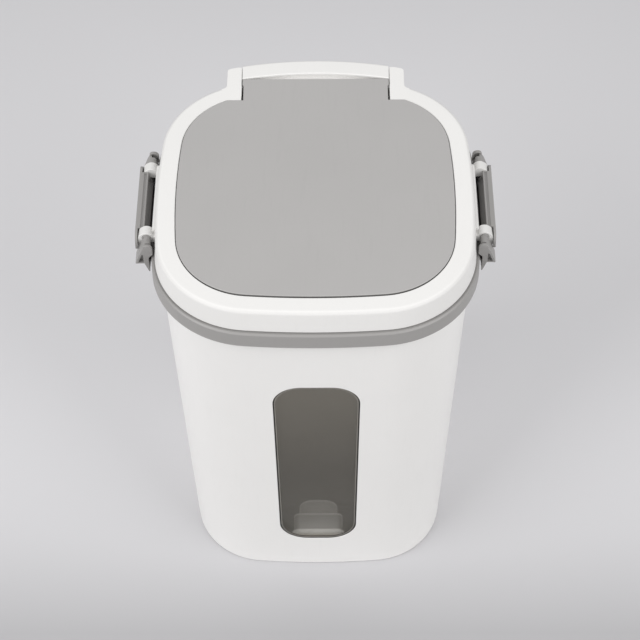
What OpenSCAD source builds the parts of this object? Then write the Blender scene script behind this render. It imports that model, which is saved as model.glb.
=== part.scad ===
// Rice bin with a flip lid: a tapered tub with a window, a snap-on collar, a lid frame that carries
// a hinged flip lid and two side latches, and a measuring cup inside.
// Millimetres. The origin is on the floor at the tub's axis: +X right, +Y to the hinge, +Z up.

/* [Outline] */
// Width of the lid frame, side to side
lid_w = 250; // [236:1:290]
// Depth of the lid frame, front to back
lid_d = 248; // [236:1:290]
// Radius of the lid frame's corners
corner_r = 76; // [66:1:88]
// Radius of the lid frame's bowed sides
side_r = 650; // [560:10:900]

/* [Heights] */
// Height of the closed bin, to the top of the flip lid
bin_h = 371; // [300:1:440]
// Height of the lid frame's skirt and shoulder
frame_h = 20; // [19:0.5:26]
// How far the flip lid's panel stands above the frame
panel_proud = 0.6; // [0:0.1:1.5]
// Gap between the collar and the lid frame's skirt
collar_gap = 1.1; // [0.8:0.1:4]
// Height of the collar
collar_h = 14; // [11:0.5:20]

/* [Tub] */
// How far the tub's top lies inside the lid outline
tub_inset = 3.8; // [3:0.1:6]
// How far the tub's foot lies inside the tub's top
tub_taper = 10.8; // [2:0.1:20]
// Thickness of the tub's wall
tub_wall = 2.6; // [2:0.1:4]
// Thickness of the tub's floor
tub_floor = 3; // [2:0.1:6]
// Radius of the tub's bottom edge
tub_edge_r = 2.5; // [1:0.5:8]
// Radius between the tub's floor and walls, inside
floor_edge_r = 4; // [2:0.5:8]
// Height of the recess under the tub
under_recess = 2; // [1:0.1:4]
// Width of the ring that the tub stands on
stand_w = 16; // [10:1:24]
// Radius of the pad in the middle of the underside
centre_pad_r = 30; // [15:1:45]
// Step from the tub's wall back to its neck, which seats the collar
neck_step = 1.2; // [1:0.1:2]
// Thickness of the neck
neck_wall = 2.4; // [2:0.1:3]

/* [Window] */
// Height of the window's lower edge
window_z0 = 43.5; // [30:0.5:90]
// Height of the window's upper edge
window_z1 = 274.5; // [200:0.5:290]
// Width of the window at its upper edge
window_w = 70; // [54:1:100]
// How much narrower the window's lower edge is
window_narrow = 4; // [0:0.5:10]
// Radius of the window's corners
window_r = 23.8; // [10:0.1:25]
// Width of the gasket round the pane
gasket_w = 1.5; // [1:0.1:3]
// How far the pane's face is set back from the wall
pane_set = 0.6; // [0.2:0.1:1.2]
// Thickness of the flange behind the wall
pane_flange_t = 1.8; // [1:0.1:3]
// Width of the flange beyond the window
pane_flange_w = 6; // [3:0.5:10]

/* [Collar] */
// How far the collar stands out beyond the lid outline
collar_proud = 3; // [2:0.1:4]
// Wall of the hollow collar
collar_wall = 2.4; // [2:0.1:3]
// Chamfer between the collar's face and its top
collar_chamfer = 1.3; // [0.8:0.1:3.5]

/* [Lid frame] */
// Wall of the lid frame
frame_wall = 2.4; // [2:0.1:3]
// How far the skirt's top lies inside its bottom
skirt_lean = 2.3; // [1:0.1:3]
// Radius of the lid frame's top edge
shoulder_r = 3.4; // [2.4:0.1:4.5]
// Distance from the outline to the recess for the flip lid
recess_inset = 17; // [16:0.1:22]
// Distance from the outline to the mouth
mouth_inset = 26; // [25:0.5:34]
// Depth of the lip round the mouth
mouth_lip = 9; // [8:0.5:12]
// Depth of the wall that fits inside the tub's neck
spigot_h = 15; // [10:0.5:20]
// Clearance between that wall and the neck
spigot_gap = 0.8; // [0.4:0.1:1.5]
// Height of the seal between the lid frame and the tub
seal_h = 4; // [2:0.5:5]

/* [Flip lid] */
// Thickness of the flip lid's panel
panel_t = 3.2; // [2.5:0.1:4]
// Thickness of the flip lid's base plate
base_t = 2.6; // [2:0.1:4]
// Gap round the panel
panel_gap = 0.8; // [0.7:0.1:1.5]
// Gap under the base plate
rest_gap = 0.3; // [0.2:0.1:0.6]
// Width of the tongue that reaches back to the hinge
tongue_w = 119; // [80:1:130]
// Gap on each side of the tongue
tongue_gap = 0.6; // [0.4:0.1:1.2]
// Distance from the lid outline to the panel's back edge
panel_back = 0.5; // [0:0.1:2]
// Depth of the plug that enters the mouth
plug_h = 8; // [7:0.5:10]
// Wall of the plug
plug_wall = 2.2; // [1.6:0.1:3]
// Width of the flip lid's seal
lip_seal_w = 2.1; // [1.5:0.1:3]
// Height of the flip lid's seal
lip_seal_h = 4; // [2:0.5:5]

/* [Hinge] */
// Distance of the hinge axis behind the lid outline
hinge_back = 7; // [6.5:0.1:9]
// Distance of the hinge axis below the top
hinge_drop = 8.7; // [8.2:0.1:9.5]
// Radius of the hinge barrel
barrel_r = 5.5; // [4.8:0.1:5.8]
// Radius of the hinge pins
pin_r = 2.4; // [1.5:0.1:3]
// Length of each hinge pin
pin_l = 28; // [20:1:34]
// Running clearance round the pins
pin_fit = 0.08; // [0.02:0.01:0.1]
// Width of each ear
ear_w = 12; // [10:0.5:18]
// How far the ears reach behind the lid outline
ear_back = 14.5; // [14:0.5:18]
// Depth of the strip that covers the hinge barrel
strip_w = 16.2; // [14:0.1:18]
// Distance from the hinge axis back to the strip's middle
strip_back = 7.2; // [6:0.1:8.5]
// How much the strip bows between its middle and its ends
strip_bow = 6.1; // [4:0.1:7]

/* [Latches] */
// Distance of the latch axis outside the lid frame
latch_off = 4.4; // [4.2:0.1:5.2]
// Height of the latch axis above the skirt's bottom
latch_up = 8.4; // [7.6:0.1:8.8]
// Radius of the latch's two stub pins
latch_r = 3.2; // [2.5:0.1:3.4]
// Distance between the middles of the two lugs
lug_pitch = 67; // [50:1:80]
// Width of each lug
lug_w = 8; // [5:0.5:8.5]
// Radius of the lugs' knuckles
lug_r = 5.2; // [4.8:0.1:5.4]
// Running clearance round the latch's stub pins
latch_fit = 0.08; // [0.02:0.01:0.1]
// Thickness of the finger plate
plate_t = 1.8; // [1.6:0.1:2.6]
// How far the finger plate reaches past each lug
plate_over = 2.5; // [2:0.5:5]
// How far the latch's ends reach past each lug
cheek_over = 11.5; // [9.5:0.5:14]
// Length of the finger flap below the latch axis
flap_drop = 14.5; // [12:0.5:16]
// Thickness of the latch's leg
leg_t = 2.7; // [2:0.1:3]
// Reach of the hook under the collar
hook_reach = 4.6; // [3:0.1:5]
// Height of the hook
hook_h = 5; // [3:0.5:7]

/* [Desiccant box] */
// Radius of the desiccant tray
tray_r = 36; // [25:1:45]
// Depth of the desiccant tray
tray_h = 14; // [10:0.5:18]
// Wall of the desiccant tray
tray_wall = 1.8; // [1.2:0.1:2.5]
// Thickness of the tray's cover
cover_t = 1.6; // [1:0.1:2.5]
// Number of slots in the cover
cover_slots = 10; // [6:1:12]

/* [Measuring cup] */
// Width of the cup's main part
cup_w = 43; // [36:0.5:56]
// Height of the cup's main part as it lies
cup_h = 34; // [28:0.5:44]
// Radius of the long edges of the cup's main part
cup_edge_r = 5.5; // [4:0.5:12]
// Radius of the long edges of the cup's foot
cup_foot_r = 12; // [6:0.5:13]
// Step from the cup's main part in to its foot, all round
cup_step = 4.5; // [2:0.5:5]
// Step from the cup's main part out to its rim
cup_rim = 1.5; // [0.5:0.1:3]
// Length of the cup
cup_l = 38; // [32:1:60]
// Length of the cup's foot
cup_foot_l = 17; // [8:1:18]
// Length of the cup's rim
cup_rim_l = 4; // [2:0.5:6]
// Wall of the cup
cup_wall = 1.4; // [1:0.1:2]
// Gap between the cup's mouth and the tub's front wall, at floor level
cup_gap = 3.4; // [3.2:0.1:30]

/* [Foot pads] */
// Radius of the foot pads
foot_r = 8; // [5:0.5:10]
// Wall of the socket round each foot pad
foot_wall = 2.5; // [1.5:0.1:4]
// Distance of the foot pads from the axis, each way
foot_at = 68; // [50:1:72]

/* [Hidden] */
$fn = 64;

white = [0.94, 0.94, 0.93];
grey = [0.63, 0.61, 0.59];
smoked = [0.35, 0.33, 0.31, 0.5];
dark = [0.18, 0.18, 0.18];
steel = [0.75, 0.76, 0.78];

seat = 0.3;       // gap between pieces that rest on each other
close_fit = 0.1;  // gap between pieces pressed into each other
bite = 0.5;       // overlap that joins two shapes of one piece

half_w = lid_w / 2;
half_d = lid_d / 2;
frame_top = bin_h - panel_proud;
skirt_z = frame_top - frame_h;
collar_top = skirt_z - collar_gap;
collar_z = collar_top - collar_h;
base_top = bin_h - panel_t;
base_z = base_top - base_t;
ledge_z = base_z - rest_gap;
ledge_under = ledge_z - frame_wall;
neck_inset = tub_inset + neck_step;
neck_in = neck_inset + neck_wall;
spigot_inset = neck_in + spigot_gap;
rim_z = skirt_z + 2.1;
seal_top = rim_z + seal_h;
foot_inset = tub_inset + tub_taper;
floor_z = under_recess + tub_floor;

// The outline is eight tangent arcs: four bowed sides and four corners.
side_slope = (side_r - half_w) / (side_r - half_d);
side_shift = (pow(side_r - half_w, 2) - pow(side_r - half_d, 2)) / 2 / (side_r - half_d);
quad_a = 1 + pow(side_slope, 2);
quad_b = 2 * (side_r - half_w + side_slope * side_shift);
quad_c = pow(side_r - half_w, 2) + pow(side_shift, 2) - pow(side_r - corner_r, 2);
corner_x = (sqrt(pow(quad_b, 2) - 4 * quad_a * quad_c) - quad_b) / 2 / quad_a;
corner_y = side_slope * corner_x + side_shift;
side_end = atan2(corner_y, corner_x + side_r - half_w);
back_end = atan2(corner_y + side_r - half_d, corner_x);
side_steps = 8;
corner_steps = 12;
function side_arc(x, y, from, to) = [[x, y], side_r, from, to, side_steps];
function corner_arc(x, y, from, to) = [[x, y], corner_r, from, to, corner_steps];
arcs = [
    side_arc(half_w - side_r, 0, -side_end, side_end),
    corner_arc(corner_x, corner_y, side_end, back_end),
    side_arc(0, half_d - side_r, back_end, 180 - back_end),
    corner_arc(-corner_x, corner_y, 180 - back_end, 180 - side_end),
    side_arc(side_r - half_w, 0, 180 - side_end, 180 + side_end),
    corner_arc(-corner_x, -corner_y, 180 + side_end, 180 + back_end),
    side_arc(0, side_r - half_d, 180 + back_end, 360 - back_end),
    corner_arc(corner_x, -corner_y, 360 - back_end, 360 - side_end)];

// Points of the outline, moved inwards by inset.
function outline(inset) = [for (arc = arcs) for (i = [0 : arc[4] - 1])
    let (t = arc[2] + (arc[3] - arc[2]) * i / arc[4])
    arc[0] + (arc[1] - inset) * [cos(t), sin(t)]];
function ring(inset, z) = [for (p = outline(inset)) [p.x, p.y, z]];
// How far a bowed side falls back at a distance from its middle.
function bow(along) = side_r - sqrt(pow(side_r, 2) - pow(along, 2));
// Y of the outline's back edge at a distance from the middle, moved inwards by inset.
function back_edge(x, inset) =
    let (r = corner_r - inset, dx = x - corner_x)
    dx > r * cos(back_end) ? corner_y + sqrt(pow(r, 2) - pow(dx, 2))
        : half_d - side_r + sqrt(pow(side_r - inset, 2) - pow(x, 2));

function unit(v) = v / norm(v);
function xy(p) = [p.x, p.y];
// Polygon whose corners are [x, y, radius], with each corner rounded by an arc.
function rounded(corners, steps = 6) = [for (i = [0 : len(corners) - 1])
    each rounded_corner(corners, i, steps)];
function rounded_corner(corners, i, steps) =
    let (n = len(corners), here = corners[i], r = here[2])
    r == 0 ? [xy(here)] :
    let (u = unit(xy(corners[(i + n - 1) % n]) - xy(here)),
        v = unit(xy(corners[(i + 1) % n]) - xy(here)),
        half = acos(u * v) / 2,
        centre = xy(here) + unit(u + v) * r / sin(half),
        start = xy(here) + u * r / tan(half) - centre,
        turn = sign(cross(v, u)) * (180 - 2 * half),
        t = atan2(start.y, start.x))
    [for (k = [0 : steps]) centre + r * [cos(t + turn * k / steps), sin(t + turn * k / steps)]];

// Solid through a list of rings: open ones are capped at both ends.
module skin(rings, closed = false) {
    n = len(rings[0]);
    m = len(rings);
    sides = [for (j = [0 : closed ? m - 1 : m - 2]) for (i = [0 : n - 1])
        let (k = (i + 1) % n, l = (j + 1) % m)
        [j * n + i, l * n + i, l * n + k, j * n + k]];
    caps = closed ? [] : [[for (i = [0 : n - 1]) i], [for (i = [n - 1 : -1 : 0]) (m - 1) * n + i]];
    polyhedron([for (r = rings) each r], concat(sides, caps), convexity = 10);
}

// A section of [inset, z] points carried round the outline.
module band(section) skin([for (p = section) ring(p.x, p.y)], closed = true);

// A wall with the outline's shape between two insets.
module wall(out, in, z0, z1) {
    translate([0, 0, z0]) linear_extrude(z1 - z0) difference() {
        polygon(outline(out));
        polygon(outline(in));
    }
}

// A cylinder along X or Y, centred on a point.
module bar_x(at, r, l) translate(at) rotate([0, 90, 0]) cylinder(r = r, h = l, center = true);
module bar_y(at, r, l) translate(at) rotate([90, 0, 0]) cylinder(r = r, h = l, center = true);
// An outline in the YZ plane drawn out along X, or in the XZ plane along Y.
module slab_x(x0, x1, points) translate([x0, 0, 0]) rotate([90, 0, 90]) linear_extrude(x1 - x0) polygon(points);
module slab_y(y0, y1, points) translate([0, y1, 0]) rotate([90, 0, 0]) linear_extrude(y1 - y0) polygon(points);

// The same shape on the right and on the left.
module both_sides() {
    children();
    mirror([1, 0, 0]) children();
}

// ---- Tub ----

// Inset of the tub's outer face at a height.
function tub_face(z) = tub_inset + tub_taper * (1 - z / collar_z);

tub_section = rounded([
    [foot_inset + stand_w, under_recess, 0],
    [foot_inset + stand_w, 0, 0],
    [foot_inset, 0, tub_edge_r],
    [tub_inset, collar_z, 0],
    [neck_inset, collar_z, 0],
    [neck_inset, rim_z, 0],
    [neck_in, rim_z, 0],
    [neck_in, collar_z - neck_step, 0],
    [tub_face(collar_z - 4 * neck_step) + tub_wall, collar_z - 4 * neck_step, 0],
    [tub_face(floor_z) + tub_wall, floor_z, floor_edge_r],
    [tub_face(floor_z) + tub_wall + 2 * floor_edge_r, floor_z, 0]], steps = 5);

// Outline of the window, grown by a margin.
function window_outline(grow) = rounded([
    [-(window_w - window_narrow) / 2 - grow, window_z0 - grow, window_r + grow],
    [(window_w - window_narrow) / 2 + grow, window_z0 - grow, window_r + grow],
    [window_w / 2 + grow, window_z1 + grow, window_r + grow],
    [-window_w / 2 - grow, window_z1 + grow, window_r + grow]], steps = 8);

// A prism through the front wall with the window's outline.
module window_prism(grow) {
    slab_y(-half_d, tub_wall + foot_inset + 10 - half_d, window_outline(grow));
}

// A patch of the bowed front wall between two depths behind its outer face.
module front_patch(near, far) {
    z0 = window_z0 - 2 * pane_flange_w;
    z1 = window_z1 + 2 * pane_flange_w;
    spread = asin((window_w / 2 + 2 * pane_flange_w) / side_r);
    function on_front(depth, z, t) =
        let (r = side_r - tub_face(z) - depth)
        [r * cos(t), side_r - half_d + r * sin(t), z];
    skin([for (i = [0 : side_steps]) let (t = 270 + spread * (2 * i / side_steps - 1))
        [on_front(near, z0, t), on_front(far, z0, t), on_front(far, z1, t), on_front(near, z1, t)]]);
}

module at_feet(names = [[-1, -1], [1, -1], [-1, 1], [1, 1]]) {
    for (way = names) translate([way.x * foot_at, way.y * foot_at, 0]) children();
}

module body_shell() color(white) difference() {
    union() {
        skin([for (p = tub_section) ring(p.x, p.y)]);
        cylinder(r = centre_pad_r, h = under_recess + bite);
        at_feet() cylinder(r = foot_r + foot_wall, h = under_recess + bite);
    }
    at_feet() translate([0, 0, -bite]) cylinder(r = foot_r + close_fit, h = under_recess + bite);
    window_prism(0);
}

module foot_pad(x, y) color(dark) at_feet([[x, y]]) cylinder(r = foot_r, h = under_recess);

module window_pane() color(smoked) union() {
    intersection() {
        front_patch(pane_set, tub_wall + seat + pane_flange_t / 2);
        window_prism(-gasket_w - close_fit);
    }
    intersection() {
        front_patch(tub_wall + seat, tub_wall + seat + pane_flange_t);
        window_prism(pane_flange_w);
    }
}

module window_gasket() color(dark) intersection() {
    front_patch(pane_set, tub_wall);
    difference() {
        window_prism(-close_fit);
        window_prism(-gasket_w);
    }
}

// ---- Collar ----

collar_in = neck_inset - close_fit;
collar_lean = 0.4;   // how far the collar's face leans in over its height
module collar_ring() color(grey) band([
    [-collar_proud, collar_z],
    [collar_lean - collar_proud, collar_top - collar_chamfer],
    [collar_lean - collar_proud + collar_chamfer, collar_top],
    [collar_in, collar_top],
    [collar_in, collar_z],
    [collar_in - collar_wall, collar_z],
    [collar_in - collar_wall, collar_top - collar_wall],
    [collar_wall - collar_proud, collar_top - collar_wall],
    [collar_wall - collar_proud, collar_z]]);

// ---- Hinge places ----

axis_y = half_d + hinge_back;
axis_z = bin_h - hinge_drop;
notch_x = tongue_w / 2 + tongue_gap;
ear_end = notch_x + ear_w;
ear_skin = 2.5;      // wall that closes each pin's bore in its ear
pin_end = ear_end - ear_skin - seat;
ear_y = half_d + ear_back;

// ---- Lid frame ----

seal_out = frame_wall + skirt_lean / 2;
spigot_z = seal_top - spigot_h;
frame_section = rounded([
    [0, skirt_z, 0.6],
    [skirt_lean, frame_top, shoulder_r],
    [recess_inset, frame_top, 0.5],
    [recess_inset, ledge_z, 0],
    [mouth_inset, ledge_z, 0.8],
    [mouth_inset, ledge_z - mouth_lip, 0],
    [mouth_inset - frame_wall, ledge_z - mouth_lip, 0],
    [mouth_inset - frame_wall, ledge_under, 0],
    [recess_inset - frame_wall, ledge_under, 0],
    [recess_inset - frame_wall, frame_top - frame_wall, 0],
    [spigot_inset + frame_wall, frame_top - 1.4 * frame_wall, 0],
    [spigot_inset + frame_wall, spigot_z, 0],
    [spigot_inset, spigot_z, 0],
    [spigot_inset, seal_top, 0],
    [seal_out, seal_top, 0],
    [frame_wall, skirt_z, 0]], steps = 3);

// The two ears that hold the hinge pins: their section, and their plan.
ear_front = back_edge(ear_end, recess_inset) + 0.2;
ear_root = half_d - bow(ear_end) - frame_wall / 2;
ear_section = rounded([
    [ear_front, frame_top, 0],
    [ear_front, ledge_under, 0],
    [ear_root, seal_top + 1.5, 0],
    [ear_root, axis_z - barrel_r - 1.5, 0],
    [ear_y, axis_z - barrel_r - 1.5, 6],
    [ear_y, frame_top, 1.2]], steps = 6);
ear_plan = rounded([
    [notch_x, 0, 0],
    [ear_end, 0, 0],
    [ear_end, ear_y - 3, 3.5],
    [notch_x, ear_y, 0]], steps = 6);

module ear() intersection() {
    slab_x(notch_x, ear_end, ear_section);
    linear_extrude(bin_h) polygon(ear_plan);
}

// The lugs that carry each latch, seen along Y: an arm, a round knuckle and a
// nose, with a slot below that the latch's stub pin snaps in through.
latch_x = half_w + latch_off;
latch_z = skirt_z + latch_up;
lug_end = (lug_pitch + lug_w) / 2;
lug_in = (lug_pitch - lug_w) / 2;
nose_t = 2;          // thickness of each lug's nose
nose_drop = 9.4;     // how far the nose hangs below the latch axis
nose_lean = 1.4;     // how far the nose leans out on the way down
snap_half = 0.75 * latch_r;
lug_arm = [
    [half_w - skirt_lean - 3.6, latch_z + 1.2],
    [half_w - bow(lug_end) - frame_wall * 0.6, latch_z - lug_r],
    [latch_x, latch_z - lug_r + 0.4],
    [latch_x, latch_z + 1.2]];
lug_nose = rounded([
    [latch_x + lug_r - nose_t, latch_z - 1.6, 0],
    [latch_x + lug_r - nose_t + nose_lean, latch_z - nose_drop - 0.2, 0.5],
    [latch_x + lug_r + nose_lean, latch_z - nose_drop, 0.9],
    [latch_x + lug_r - 0.3, latch_z, 0]], steps = 3);

// The straight pad that the lugs grow from.
pad_section = [
    [half_w - 1.8, skirt_z + 0.8],
    [half_w + 0.2, skirt_z + 0.8],
    [half_w + 0.2, frame_top - 7.8],
    [half_w - 1.2, frame_top - 6.4],
    [half_w - 5.2, frame_top - 6.2],
    [half_w - 5.2, seal_top + 1.5],
    [half_w - 2.6, seal_top + 1.5]];

module lugs() {
    slab_y(-lug_pitch / 2, lug_pitch / 2, pad_section);
    for (way = [-1, 1]) translate([0, way * lug_pitch / 2, 0]) difference() {
        union() {
            slab_y(-lug_w / 2, lug_w / 2, lug_arm);
            slab_y(-lug_w / 2, lug_w / 2, lug_nose);
            bar_y([latch_x, 0, latch_z], lug_r, lug_w);
        }
        translate([latch_x - snap_half, -lug_w, latch_z - lug_r - bite])
            cube([2 * snap_half, 2 * lug_w, lug_r + bite]);
        bar_y([latch_x, 0, latch_z], latch_r + latch_fit, 2 * lug_w);
    }
}

module lid_frame() color(white) difference() {
    union() {
        difference() {
            band(frame_section);
            translate([-notch_x, half_d - mouth_inset - 5, ledge_z])
                cube([2 * notch_x, mouth_inset + 10, frame_h]);
        }
        intersection() {
            wall(spigot_inset, recess_inset, ledge_under, ledge_z);
            translate([-notch_x - bite, 0, 0]) cube([2 * notch_x + 2 * bite, half_d, bin_h]);
        }
        both_sides() ear();
        both_sides() lugs();
    }
    both_sides() bar_x([ear_end - ear_skin - ear_w, axis_y, axis_z], pin_r + pin_fit, 2 * ear_w);
}

module lid_seal() color(dark) band([
    [seal_out + 0.2, rim_z],
    [seal_out + 0.2, seal_top],
    [spigot_inset - 0.2, seal_top],
    [spigot_inset - 0.2, rim_z]]);

module hinge_pin() color(steel) bar_x([pin_end - pin_l / 2, axis_y, axis_z], pin_r, pin_l);

// ---- Flip lid ----

base_inset = recess_inset + panel_gap + 1.5;
plug_out = mouth_inset + seat + lip_seal_w;
plug_flange = 1.2;
strip_steps = 12;
strip_section = rounded([
    [-strip_w / 2, axis_z + 0.5, 1],
    [strip_w / 2, axis_z + 0.5, 3],
    [strip_w / 2, bin_h, 3],
    [-strip_w / 2, bin_h, 1.5]], steps = 4);

module hinge_strip() {
    skin([for (i = [0 : strip_steps])
        let (across = 2 * i / strip_steps - 1, mid = axis_y + strip_back - strip_bow * pow(across, 2))
        [for (p = strip_section) [across * tongue_w / 2, mid + p.x, p.y]]]);
}

// The lid's outline moved inwards, straight at the back where it meets the ears.
module lid_shape(inset) intersection() {
    polygon(outline(inset));
    translate([-half_w, -half_d]) square([lid_w, half_d + ear_front - inset + recess_inset]);
}

module flip_lid_base() color(white) difference() {
    union() {
        translate([0, 0, base_z]) linear_extrude(base_t) lid_shape(base_inset);
        translate([-tongue_w / 2, half_d - mouth_inset - 5, base_z])
            cube([tongue_w, axis_y - half_d + mouth_inset + 5, base_t]);
        wall(plug_out, plug_out + plug_wall, base_z - plug_h, base_z + bite);
        wall(plug_out - lip_seal_w / 2, plug_out + bite, base_z - plug_h, base_z - plug_h + plug_flange);
        translate([0, 0, base_z - 4]) difference() {
            cylinder(r = tray_r + close_fit + tray_wall, h = 4 + bite);
            translate([0, 0, -bite]) cylinder(r = tray_r + close_fit, h = 4 + bite);
        }
        bar_x([0, axis_y, axis_z], barrel_r, tongue_w);
        hinge_strip();
    }
    both_sides() bar_x([pin_end, axis_y, axis_z], pin_r + pin_fit, 2 * pin_l + 2 * bite);
}

panel_relief = 0.8;  // undercut that lets the panel's back edge swing clear of the frame
module panel_shape(inset, side_in) {
    lid_shape(inset);
    translate([side_in - tongue_w / 2, half_d - mouth_inset - 20])
        square([tongue_w - 2 * side_in, mouth_inset + 20 - panel_back]);
}

module flip_lid_panel() color(grey) {
    translate([0, 0, base_top]) linear_extrude(panel_t)
        panel_shape(recess_inset + panel_gap + panel_relief, panel_relief / 2);
    translate([0, 0, base_top + panel_relief]) linear_extrude(panel_t - panel_relief)
        panel_shape(recess_inset + panel_gap, 0);
}

module flip_lid_seal() color(dark)
    wall(mouth_inset + seat, plug_out, base_z - plug_h + plug_flange, base_z - plug_h + plug_flange + lip_seal_h);

// ---- Latches ----

hook_gap = 0.6;      // gap between the hook and the collar
leg_x = half_w + collar_proud + hook_gap;
hook_z = collar_z - hook_gap;
plate_x = latch_x + lug_r + nose_lean + 0.4;
plate_top = latch_z + 2.6;
plate_end = lug_end + plate_over;
flap_z = latch_z - flap_drop;
plate_round = 0.48 * (plate_top - flap_z);
end_x = leg_x - bow(lug_end) + 0.1;
hook_section = [
    [leg_x + leg_t, hook_z + 2],
    [leg_x + leg_t + 0.6, hook_z - hook_h],
    [leg_x - hook_reach + 0.5, hook_z - 1.8],
    [leg_x - hook_reach, hook_z - 0.6],
    [leg_x, hook_z]];
// Between the lugs the plate's back carries the leg; below them runs a rail.
web_section = concat([
    [latch_x + 1.9, plate_top],
    [plate_x + bite, plate_top],
    [plate_x + bite, latch_z - 7],
    [leg_x + leg_t, latch_z - 8]], hook_section, [
    [leg_x, latch_z - 5],
    [latch_x + 1.9, latch_z]]);
rail_section = concat([[leg_x, latch_z - 12.6], [leg_x + leg_t, latch_z - 12.6]], hook_section);
plate_section = rounded([
    [plate_x, plate_top, 0],
    [plate_x, latch_z - 6, 0],
    [plate_x + 0.5, flap_z, 0.5],
    [plate_x + plate_t + 0.5, flap_z - 0.3, 0.7],
    [plate_x + plate_t, latch_z - 6, 0],
    [plate_x + plate_t, plate_top, 0.9]], steps = 3);
plate_side = rounded([
    [-plate_end, flap_z - 0.3, plate_round],
    [plate_end, flap_z - 0.3, plate_round],
    [plate_end, plate_top, plate_round],
    [-plate_end, plate_top, plate_round]], steps = 8);
// Each end of the latch, seen along Y: a leg inside, the flap's edge outside.
end_leg = rounded([
    [end_x, hook_z - 0.8, 0.3],
    [end_x + 0.9, hook_z - 0.8, 0.3],
    [leg_x + leg_t + 0.5, flap_z, 0.8],
    [latch_x + 2.2, latch_z + 2.8, 2.6],
    [latch_x - 4.9, latch_z + 2.8, 3.4],
    [latch_x - 5, latch_z - 5.6, 0.6],
    [end_x, latch_z - 9.2, 0]], steps = 4);
end_flap = rounded([
    [latch_x + 0.5, latch_z + 2.3, 0],
    [latch_x + 1.9, latch_z + 1.2, 1.2],
    [latch_x + 4.2, latch_z - 2.5, 2.5],
    [plate_x + plate_t + 0.3, flap_z - 0.3, 0.6],
    [plate_x - 1, flap_z - 0.3, 0.6],
    [latch_x + 3.2, latch_z - 5.8, 1.5],
    [latch_x + 0.5, latch_z - 5.2, 0]], steps = 4);
groove_at = 7.5;     // where the groove across each end starts, past the lug
groove_w = 2.4;

module latch_end() difference() {
    union() {
        slab_y(lug_end + seat, lug_end + cheek_over, end_leg);
        slab_y(lug_end + seat, lug_end + cheek_over, end_flap);
        slab_y(lug_end + seat, plate_end, [
            [latch_x, latch_z - 5],
            [plate_x + bite, latch_z - 8],
            [plate_x + bite, latch_z - 3.3],
            [latch_x, latch_z - 0.8]]);
        bar_y([latch_x, (lug_in + lug_end + seat + 1) / 2, latch_z], latch_r, lug_w + 0.7);
    }
    translate([latch_x - lug_r - 2, lug_end + groove_at, latch_z - 3.5])
        cube([lug_r + 3.8, groove_w, lug_r + 7]);
}

module latch() color(grey) {
    slab_y(seat - lug_in, lug_in - seat, web_section);
    slab_y(-lug_end - seat - bite, lug_end + seat + bite, rail_section);
    intersection() {
        slab_y(-plate_end, plate_end, plate_section);
        slab_x(latch_x, plate_x + plate_t + 2, plate_side);
    }
    latch_end();
    mirror([0, 1, 0]) latch_end();
}

// ---- Desiccant box under the flip lid ----

tray_z = base_z - tray_h;
cover_ring_h = 3;
cover_ring_t = 1.5;
cover_in = tray_r - tray_wall - seat - cover_ring_t;
module desiccant_tray() color(white) translate([0, 0, tray_z]) difference() {
    cylinder(r = tray_r, h = tray_h);
    translate([0, 0, -bite]) cylinder(r = tray_r - tray_wall, h = tray_h - tray_wall + bite);
}

module desiccant_cover() color(grey) translate([0, 0, tray_z - seat]) {
    difference() {
        translate([0, 0, -cover_t]) cylinder(r = tray_r, h = cover_t);
        for (i = [0 : cover_slots - 1]) rotate(360 * i / cover_slots)
            translate([0.35 * cover_in, -1.5, -cover_t - bite]) cube([0.55 * cover_in, 3, cover_t + 2 * bite]);
    }
    translate([0, 0, -bite]) difference() {
        cylinder(r = cover_in + cover_ring_t, h = cover_ring_h + bite);
        translate([0, 0, -bite]) cylinder(r = cover_in, h = cover_ring_h + 3 * bite);
    }
    translate([-0.25 * cover_in, -2, -cover_t - 3]) cube([0.5 * cover_in, 4, 3 + bite]);
}

module desiccant_pack() color("white") translate([0, 0, tray_z])
    cylinder(r = cover_in - 1, h = tray_h - tray_wall - 1.5);

// ---- Measuring cup, lying on the tub's floor with its mouth to the window ----

cup_y = cup_gap + tub_face(floor_z) + tub_wall - half_d;
cup_z = floor_z + seat + cup_h / 2 + cup_rim;
// The cup's outline, grown or shrunk, between two distances from its mouth.
module cup_tier(grow, from, to, edge_r = cup_edge_r) {
    w = cup_w / 2 + grow;
    h = cup_h / 2 + grow;
    r = min(edge_r + grow, w - 0.3, h - 0.3);
    translate([0, cup_y, cup_z])
        slab_y(from, to, rounded([[-w, -h, r], [w, -h, r], [w, h, r], [-w, h, r]], steps = 8));
}

module measuring_cup() color([0.7, 0.69, 0.67, 0.7]) difference() {
    union() {
        cup_tier(-cup_step, cup_l - cup_foot_l - bite, cup_l, cup_foot_r + cup_step);
        cup_tier(0, cup_rim_l - bite, cup_l - cup_foot_l);
        cup_tier(cup_rim, 0, cup_rim_l);
    }
    cup_tier(-cup_step - cup_wall, 0, cup_l - cup_wall, cup_foot_r + cup_step);
    cup_tier(-cup_wall, -bite, cup_l - cup_foot_l - cup_wall);
}

body_shell();
window_pane();
window_gasket();
collar_ring();
lid_frame();
lid_seal();
flip_lid_base();
flip_lid_panel();
flip_lid_seal();
mirror([1, 0, 0]) hinge_pin();  // hinge_pin_left
hinge_pin();  // hinge_pin_right
mirror([1, 0, 0]) latch();  // latch_left
latch();  // latch_right
desiccant_tray();
desiccant_cover();
desiccant_pack();
measuring_cup();
foot_pad(-1, -1);  // foot_pad_front_left
foot_pad(1, -1);  // foot_pad_front_right
foot_pad(-1, 1);  // foot_pad_back_left
foot_pad(1, 1);  // foot_pad_back_right
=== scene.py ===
import math

import bpy
from mathutils import Matrix, Vector


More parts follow.
